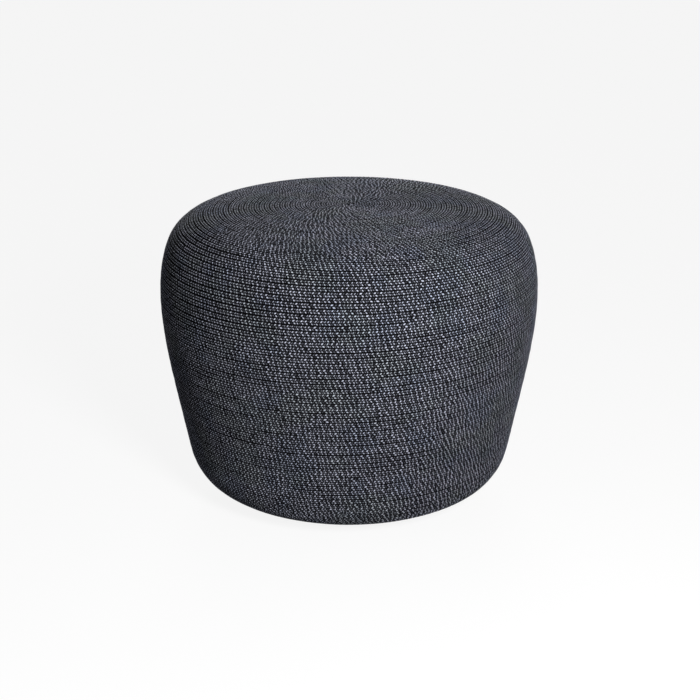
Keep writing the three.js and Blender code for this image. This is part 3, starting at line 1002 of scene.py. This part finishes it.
def liner_mesh_and_hole_shade():
    material, tree, shader = new_material("liner_mesh")
    x, y, z = split_xyz(tree, place_on_piece(tree))
    radius = (x * x + y * y).math("SQRT")
    wrapped = y.math("ARCTAN2", x) * (FABRIC_CELLS_ROUND / (2 * math.pi))
    change = FABRIC_SEAM_CHANGE
    on_top = z.ramp(FABRIC_SEAM_HEIGHT - change, FABRIC_SEAM_HEIGHT + change)

    def side_or_top(on_side, above):
        return wire(tree, "ShaderNodeMix", {0: on_top, 2: on_side, 3: above}, data_type="FLOAT")

    flat = side_or_top(wrapped, x / FABRIC_CELL)
    down = side_or_top(z / FABRIC_CELL, y / FABRIC_CELL)
    across = (flat + down.math("FLOOR") * 0.5).math("FRACT") - 0.5
    along = down.math("FRACT") - 0.5
    thread = (across * across + along * along).math("SQRT").ramp(*FABRIC_HOLE)
    tone = noise(tree, place_on_piece(tree), "3D", detail=3.0, scale=300.0)
    yarn = mix(tree, tone.ramp(*NOISE_SPAN), *FABRIC_TONES)
    # Painted shade: the holes take a near-black colour, for shade where the mesh is open.
    colour = mix(tree, thread, FABRIC_HOLE_SHADE, yarn)
    from_seam = (z - FABRIC_SEAM_HEIGHT).math("ABSOLUTE")
    seam = from_seam.ramp(*FABRIC_SEAM_EDGE, 1.0, 0.0) * radius.ramp(*FABRIC_SEAM_REACH)
    colour = mix(tree, seam, colour, FABRIC_SEAM_COLOUR)
    fill(tree, shader, {"Base Color": colour, "Roughness": thread * -0.15 + 0.9, "Sheen Weight": 0.2})
    bump(tree, shader, thread + seam, FABRIC_BUMP)
    return material


foam = foam_cells_and_pore_shade()
liner_fabric = liner_mesh_and_hole_shade()

# %% [markdown]
# ## The frame
# The seat deck is a round plate with drain holes, and it is screwed to a flat ring. Eight bent bars
# run down from that ring to the lower ring, with a hoop half way. The rings are flat bar stock, so
# each is an oblong outline turned once, with its corners eased as a finished bar's are. The ribs and
# the crossing bars have the right shape in the frame already. They only lack the eased edges, so
# each is copied, its loose triangles are joined, and a bevel goes round its edges.

# %% Deck and rings
DRAIN_HOLE_RADIUS = 0.007
DECK_DRAINS = [(0.25, 4), (0.52, 8), (0.76, 12)]
DECK_SCREWS = 8
GLIDES = 6
SCREW_HOLE_RADIUS = 0.0028
SEAT_RING_WIDTH = 0.028
BASE_RING_WIDTH = 0.050
HOOP_THICKNESS = 0.004
HALF_FACET = math.pi / 24
BAR_EASE = 0.0006
WELD_CLEARANCE = 0.0006


def bar_ring(name, outer, inner):
    low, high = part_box(name)
    corners = [(outer, low.z), (outer, high.z), (inner, high.z), (inner, low.z)]
    return turned(name + "_round", eased(corners, BAR_EASE), ROUND_SIDES, powder_coat)


ring_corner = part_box("seat_ring")[1].x
ring_reach = ring_corner * math.cos(HALF_FACET)
ring_inside = (ring_corner - SEAT_RING_WIDTH) * math.cos(HALF_FACET) + WELD_CLEARANCE
deck_screw_circle = ring_corner - SEAT_RING_WIDTH / 2
deck_screw_angle = HALF_FACET + math.pi / DECK_SCREWS

seat_ring = bar_ring("seat_ring", ring_reach, ring_inside)
low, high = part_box("seat_ring")
drill(seat_ring, SCREW_HOLE_RADIUS, low.z, high.z, DECK_SCREWS, deck_screw_circle, deck_screw_angle)
finish_piece(smoothed(seat_ring), "coated_aluminium", "seat_ring")

low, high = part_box("seat_deck")
deck_edge = [(0, low.z), (ring_reach - BAR_EASE, low.z), (ring_reach, low.z + BAR_EASE)]
deck_edge += [(ring_reach, high.z - BAR_EASE), (ring_reach - BAR_EASE, high.z), (0, high.z)]
deck = turned("seat_deck_round", deck_edge, ROUND_SIDES, powder_coat)
for share, count in DECK_DRAINS:
    drill(deck, DRAIN_HOLE_RADIUS, low.z, high.z, count, share * ring_corner)
drill(deck, SCREW_HOLE_RADIUS, low.z, high.z, DECK_SCREWS, deck_screw_circle, deck_screw_angle)
finish_piece(smoothed(deck), "coated_aluminium", "seat_deck")

hoop_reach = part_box("waist_hoop")[1].x * math.cos(HALF_FACET)
hoop = bar_ring("waist_hoop", hoop_reach, hoop_reach - HOOP_THICKNESS)
finish_piece(smoothed(hoop), "coated_aluminium", "waist_hoop")

low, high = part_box("base_ring")
glide_circle = (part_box("glide_1")[0].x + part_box("glide_1")[1].x) / 2
base_ring = bar_ring("base_ring", high.x - WELD_CLEARANCE, high.x - BASE_RING_WIDTH)
drill(base_ring, SCREW_HOLE_RADIUS, low.z, high.z, GLIDES, glide_circle)
finish_piece(smoothed(base_ring), "coated_aluminium", "base_ring")

# %% Eased bars
RIBS = 8
BAR_BEVEL = 0.0009
CLIP_BEVEL = 0.00025
BEVELLED_FROM = math.radians(40)
FLAT_WITHIN = math.radians(1)
JOIN_WITHIN = 1e-6


def copy_of_node(name, source, material, flat_faces=False):
    """A new piece with a frame node's shape, whose loose triangles are joined."""
    mesh = bpy.data.objects[source].data.copy()
    form = bmesh.new()
    form.from_mesh(mesh)
    bmesh.ops.remove_doubles(form, verts=form.verts, dist=JOIN_WITHIN)
    if flat_faces:
        bmesh.ops.dissolve_limit(form, angle_limit=FLAT_WITHIN, verts=form.verts, edges=form.edges)
    form.to_mesh(mesh)
    form.free()
    mesh.materials.clear()
    mesh.materials.append(material)
    return placed(name, mesh)


def apply_modifiers(piece):
    """Keeps what a piece's modifiers made as its plain mesh."""
    mesh, old = evaluated_mesh(piece), piece.data
    piece.modifiers.clear()
    piece.data = mesh
    bpy.data.meshes.remove(old)
    mesh.name = piece.name


def eased_copy(source, ease, material, slot):
    made = copy_of_node(source + "_eased", source, material, flat_faces=True)
    bevel = made.modifiers.new("eased", "BEVEL")
    bevel.width = ease
    bevel.segments = 2
    bevel.limit_method = "ANGLE"
    bevel.angle_limit = BEVELLED_FROM
    apply_modifiers(made)
    return finish_piece(smoothed(made), slot, source)


for bar in [f"frame_rib_{i + 1}" for i in range(RIBS)]:
    eased_copy(bar, BAR_BEVEL, powder_coat, "coated_aluminium")
for bar in ("cross_bar_long", "cross_bar_left", "cross_bar_right"):
    eased_copy(bar, BAR_BEVEL, powder_coat, "coated_aluminium")
eased_copy("cord_end_clip", CLIP_BEVEL, steel, "stainless_steel")

# %% [markdown]
# ## Base plate and glides
# The underside is closed by a black plastic plate, with drain holes and a sunk ring that stiffens
# it. Six round glides stand under it. Each has a softened foot, so that it slides on rough boards,
# and a stepped hole that hides its screw's head above the floor.

# %% Base plate
PLATE_EDGE = 0.0008
PLATE_CLEARANCE = 0.0002
SUNK_RING = (0.064, 0.094, 0.0014)
BASE_DRAINS = (0.34, 6)
BASE_DRAIN_FLARE = 0.0008

plate_low, plate_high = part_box("base_plate")
bottom, top = plate_low.z, plate_high.z
rim = plate_high.x - PLATE_CLEARANCE
sunk_from, sunk_to, sunk = SUNK_RING
plate_profile = [
    (0, bottom),
    (sunk_from - sunk, bottom),
    (sunk_from - 0.3 * sunk, bottom + 0.3 * sunk),
    (sunk_from, bottom + sunk),
    (sunk_to, bottom + sunk),
    (sunk_to + 0.7 * sunk, bottom + 0.3 * sunk),
    (sunk_to + sunk, bottom),
    (rim - 2 * PLATE_EDGE, bottom),
    (rim - 0.6 * PLATE_EDGE, bottom + 0.6 * PLATE_EDGE),
    (rim, bottom + 2 * PLATE_EDGE),
    (rim, top - PLATE_EDGE),
    (rim - PLATE_EDGE, top),
    (0, top),
]
base_plate = turned("base_plate_round", plate_profile, ROUND_SIDES, moulded_plastic)
clip_low, clip_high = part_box("clip_screw")
clip_x, clip_y = (clip_low.x + clip_high.x) / 2, (clip_low.y + clip_high.y) / 2
clip_circle, clip_angle = math.hypot(clip_x, clip_y), math.atan2(clip_y, clip_x)
drain_share, drains = BASE_DRAINS
drain_circle = drain_share * plate_high.x
drill(base_plate, DRAIN_HOLE_RADIUS, bottom, top, drains, drain_circle, flare=BASE_DRAIN_FLARE)
drill(base_plate, SCREW_HOLE_RADIUS, bottom, top, GLIDES, glide_circle)
drill(base_plate, SCREW_HOLE_RADIUS, bottom, top, 1, clip_circle, clip_angle)
finish_piece(smoothed(base_plate), "black_plastic", "base_plate")

# %% Glides
GLIDE_SIDES = 64
FOOT_ROUNDING = 0.0015
FOOT_STEPS = 6
GLIDE_EASE = 0.0006
BORE_EASE = 0.0004
COUNTERBORE_RADIUS = 0.0053
GLIDE_SEAT = 0.0043


def glide_master():
    low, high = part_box("glide_1")
    radius = (high.y - low.y) / 2
    foot = []
    for angle in np.linspace(0, math.pi / 2, FOOT_STEPS):
        inwards, up = 1 - math.sin(angle), 1 - math.cos(angle)
        foot.append((radius - FOOT_ROUNDING * inwards, FOOT_ROUNDING * up))
    upper = [(radius, high.z - GLIDE_EASE), (radius - GLIDE_EASE, high.z), (SCREW_HOLE_RADIUS, high.z)]
    bore = [(SCREW_HOLE_RADIUS, GLIDE_SEAT), (COUNTERBORE_RADIUS, GLIDE_SEAT)]
    mouth = [(COUNTERBORE_RADIUS, BORE_EASE), (COUNTERBORE_RADIUS + BORE_EASE, 0)]
    return turned("glide", [*foot, *upper, *bore, *mouth], GLIDE_SIDES, moulded_plastic)


glide = glide_master()
for i in range(GLIDES):
    made = one_of_ring(f"glide_{i + 1}_turned", glide, i, GLIDES, glide_circle, 0.0, moulded_plastic)
    finish_piece(smoothed(made), "black_plastic", f"glide_{i + 1}")
bpy.data.objects.remove(glide)

# %% [markdown]
# ## Screws
# All screws are stainless, with a round head and a six-sided socket, and they point up. Each has a
# flat ring of thread for every turn of the real helix, which looks the same at this size.

# %% Screws
HEAD_HEIGHT = 0.003
HEAD_RADIUS = 0.005
HEAD_ROUNDING = [(0.0014, 0), (0.0005, 0.0004), (0, 0.0013)]
HEAD_EASE = 0.0002
SHANK_RADIUS = 0.0025
SCREW_SIDES = 24
THREAD_START = 0.0006
THREAD_PITCH = 0.0008
THREAD_DEPTH = 0.0004
SOCKET_RADIUS = 0.0018
SOCKET_DEPTH = 0.0018
SOCKET_SIDES = 6


def screw_master(bottom, tip):
    seat = bottom + HEAD_HEIGHT
    head = [(0, bottom)] + [(HEAD_RADIUS - inwards, bottom + up) for inwards, up in HEAD_ROUNDING]
    head += [(HEAD_RADIUS, seat - HEAD_EASE), (HEAD_RADIUS - HEAD_EASE, seat)]
    root = SHANK_RADIUS - THREAD_DEPTH
    thread = [(SHANK_RADIUS, seat)]
    for turn in range(int((tip - seat - 2 * THREAD_START) / THREAD_PITCH)):
        height = seat + THREAD_START + turn * THREAD_PITCH
        thread += [(SHANK_RADIUS, height), (root, height + THREAD_PITCH / 2)]
    screw = turned("screw", [*head, *thread, (root, tip), (0, tip)], SCREW_SIDES, steel)
    socket_end = bottom + SOCKET_DEPTH
    return drill(screw, SOCKET_RADIUS, bottom, socket_end, 1, 0.0, sides=SOCKET_SIDES, flare=HEAD_EASE)


def screw_ring(names, circle, first_angle=0.0):
    """Turns one screw and sets it out on a circle, once for each of the frame's screws."""
    low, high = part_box(names[0])
    master = screw_master(low.z, high.z)
    for i, name in enumerate(names):
        made = one_of_ring(f"{name}_turned", master, i, len(names), circle, first_angle, steel)
        finish_piece(smoothed(made), "stainless_steel", name)
    bpy.data.objects.remove(master)


screw_ring([f"deck_screw_{i + 1}" for i in range(DECK_SCREWS)], deck_screw_circle, deck_screw_angle)
screw_ring([f"glide_screw_{i + 1}" for i in range(GLIDES)], glide_circle)
screw_ring(["clip_screw"], clip_circle, clip_angle)

# %% [markdown]
# ## The liner
# Between the cord and the foam lies a stretched mesh fabric. The cord is laid on it, so it shows
# only where the cord is taken off. It is one thin turned sheet: it starts round the hole for the
# cord's start, follows the outline under the cord, and its hem turns in under the lower ring. It
# is cut as a long strip for the side and a disc for the top, and the two are sewn together.

# %% Liner
LINER_DEPTH = 0.0079
LINER_THICKNESS = 0.0007
CORD_HOLE_RADIUS = 0.013
LINER_STATIONS = 60
LINER_SMOOTHING = 60

slopes = np.gradient(outline_points, axis=0)
outline_along = slopes / np.linalg.norm(slopes, axis=1)[:, None]


def under_cover(reach, depth):
    """The (radius, height) at a reach along the outline and a depth under it."""
    radius, height = (np.interp(reach, outline_reach, outline_points[:, k]) for k in (0, 1))
    outwards, upwards = (np.interp(reach, outline_reach, outline_along[:, k]) for k in (0, 1))
    length = math.hypot(outwards, upwards)
    return float(radius + upwards / length * depth), float(height - outwards / length * depth)


hem_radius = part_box("base_ring")[1].x - BASE_RING_WIDTH
stations = np.linspace(CORD_HOLE_RADIUS, cover_length, LINER_STATIONS)
liner_outside = [under_cover(reach, LINER_DEPTH) for reach in stations]
liner_inside = [under_cover(reach, LINER_DEPTH + LINER_THICKNESS) for reach in stations]
liner_face = [(hem_radius, liner_outside[-1][1]), *liner_outside[::-1]]
liner_profile = [*liner_face, *liner_inside, (hem_radius, liner_inside[-1][1])]
liner = turned("mesh_liner_sheet", liner_profile, ROUND_SIDES, liner_fabric)
finish_piece(smoothed(liner, LINER_SMOOTHING), "liner_mesh", "mesh_liner")

# %% [markdown]
# ## The foam
# A thick crowned pad lies on the deck, and a sleeve wraps the ribs. Foam that is cut to fit and then
# covered swells a little until the liner stops it, so each block starts a millimetre small and is
# blown up with Blender's cloth, with a limit on how far each point may move. The voxel remesh gives
# the cloth the even net that it needs. The block's shape comes from its node, whose 24 flat sides
# are first rounded off.

# %% Foam blocks
FOAM_START = 0.001
NET_SMOOTHING = 0.5
NET_SMOOTHING_ROUNDS = 4


def points_of(mesh):
    places = np.empty(3 * len(mesh.vertices))
    mesh.vertices.foreach_get("co", places)
    return places.reshape(-1, 3)


def foam_block(name, source, voxel):
    """A node's block with an even net, round sides and a face that lies a little too deep."""
    block = copy_of_node(name, source, foam)
    net = block.modifiers.new("net", "REMESH")
    net.mode = "VOXEL"
    net.voxel_size = voxel
    apply_modifiers(block)
    mesh = block.data
    places = points_of(mesh)
    angle = np.arctan2(places[:, 1], places[:, 0])
    off_middle = np.mod(angle, 2 * HALF_FACET) - HALF_FACET
    places[:, :2] *= (np.cos(off_middle) / math.cos(HALF_FACET))[:, None]
    mesh.vertices.foreach_set("co", places.ravel())
    mesh.update()
    smooth = block.modifiers.new("smooth", "SMOOTH")
    smooth.factor = NET_SMOOTHING
    smooth.iterations = NET_SMOOTHING_ROUNDS
    shrink = block.modifiers.new("shrink", "DISPLACE")
    shrink.strength = -FOAM_START
    shrink.mid_level = 0
    apply_modifiers(block)
    return block


# %% Swollen foam
FOAM_BLOCKS = [("top_foam", "top_pad", 0.005), ("side_foam_sleeve", "side_foam", 0.006)]
FOAM_LIMIT = 0.001
FOAM_PRESSURE = 4.0
FOAM_FRAMES = 20


def swell(block):
    """Blows a block up with cloth and lets no point move further than the limit."""
    scene = bpy.context.scene
    start = points_of(block.data)
    cloth = block.modifiers.new("cloth", "CLOTH")
    cloth.settings.use_pressure = True
    cloth.settings.uniform_pressure_force = FOAM_PRESSURE
    cloth.settings.effector_weights.gravity = 0
    cloth.point_cache.frame_end = FOAM_FRAMES
    for number in range(1, FOAM_FRAMES + 1):
        scene.frame_set(number)
    blown = evaluated_mesh(block)
    moved = points_of(blown) - start
    far = np.linalg.norm(moved, axis=1)
    share = np.minimum(1, FOAM_LIMIT / np.maximum(far, TINY))
    block.modifiers.clear()
    block.data.vertices.foreach_set("co", (start + moved * share[:, None]).ravel())
    block.data.update()
    bpy.data.meshes.remove(blown)
    scene.frame_set(1)
    average = 1000 * float(np.minimum(far, FOAM_LIMIT).mean())
    print(block.name + ": moved", round(average, 2), "mm on average")


for name, source, voxel in FOAM_BLOCKS:
    block = foam_block(name, source, voxel)
    swell(block)
    block.data.shade_smooth()
    finish_piece(block, "quick_dry_foam", source)

# %% [markdown]
# ## Floor and light
# The stool was photographed on white, lit by one soft box from the front and a little to the right.
# A box that stands close does what the photo shows: the light falls off quickly, so the left flank
# and the lower edge go dark. Behind the stool a low, broad sun lights only the sides that the photo
# doesn't show. The floor is pale and glows a little, which keeps the shadow on it thin. Soft light
# bounced up from it would fill the gaps of the braid, so it is left out.

# %% Floor
FLOOR_HALF = 12.0
FLOOR_WHITE = 0.14
FLOOR_GLOW = 0.88
WHITE = (1, 1, 1, 1)


def floor_piece():
    material, tree, shader = new_material("floor")
    values = {"Base Color": (FLOOR_WHITE, FLOOR_WHITE, FLOOR_WHITE, 1), "Roughness": 0.9}
    fill(tree, shader, {**values, "Specular IOR Level": 0.0})
    fill(tree, shader, {"Emission Color": WHITE, "Emission Strength": FLOOR_GLOW})
    corners = [(-1, -1), (1, -1), (1, 1), (-1, 1)]
    points = [(FLOOR_HALF * x, FLOOR_HALF * y, 0) for x, y in corners]
    made = new_piece("floor", points, [(0, 1, 2, 3)], material)
    made.visible_diffuse = False
    made.visible_glossy = False
    return made


floor = floor_piece()

# %% Light
BACKDROP_GLOW = 0.98
FILL_GLOW = 0.115
LIT_POINT = (0, 0, 0.2)
SUN_DISTANCE = 3.0


def studio_world():
    """Pale where the camera sees it, and dim as a light, so that the soft box does the lighting."""
    world = bpy.data.worlds.new("studio")
    bpy.context.scene.world = world
    world.use_nodes = True
    tree = world.node_tree
    seen = wire(tree, "ShaderNodeLightPath", output="Is Camera Ray")
    strength = seen.ramp(0.0, 1.0, FILL_GLOW, BACKDROP_GLOW, smooth=False)
    fill(tree, tree.nodes["Background"], {"Color": WHITE, "Strength": strength})


def place_light(name, light, side, height, distance):
    """Aims a light at the stool. Side is in degrees right of the camera, height in degrees up."""
    made = placed(name, light)
    side, height = math.radians(side), math.radians(height)
    across, up = distance * math.cos(height), distance * math.sin(height)
    made.location = (math.sin(side) * across, -math.cos(side) * across, LIT_POINT[2] + up)
    aim(made, LIT_POINT)
    made.visible_camera = False
    return made


def soft_box(name, side, height, distance, width, power):
    """A square light that stands close to the stool."""
    light = bpy.data.lights.new(name, "AREA")
    light.size = width
    light.energy = power
    return place_light(name, light, side, height, distance)


def low_sun(name, side, height, softness, strength):
    """A broad light from far away, which falls on the whole floor alike."""
    light = bpy.data.lights.new(name, "SUN")
    light.angle = math.radians(softness)
    light.energy = strength
    return place_light(name, light, side, height, SUN_DISTANCE)


studio_world()
soft_box("key_light", side=17, height=25, distance=1.6, width=0.35, power=20.8)
low_sun("back_light", side=182, height=8, softness=30, strength=2.2)
bpy.context.scene.view_settings.view_transform = "Standard"
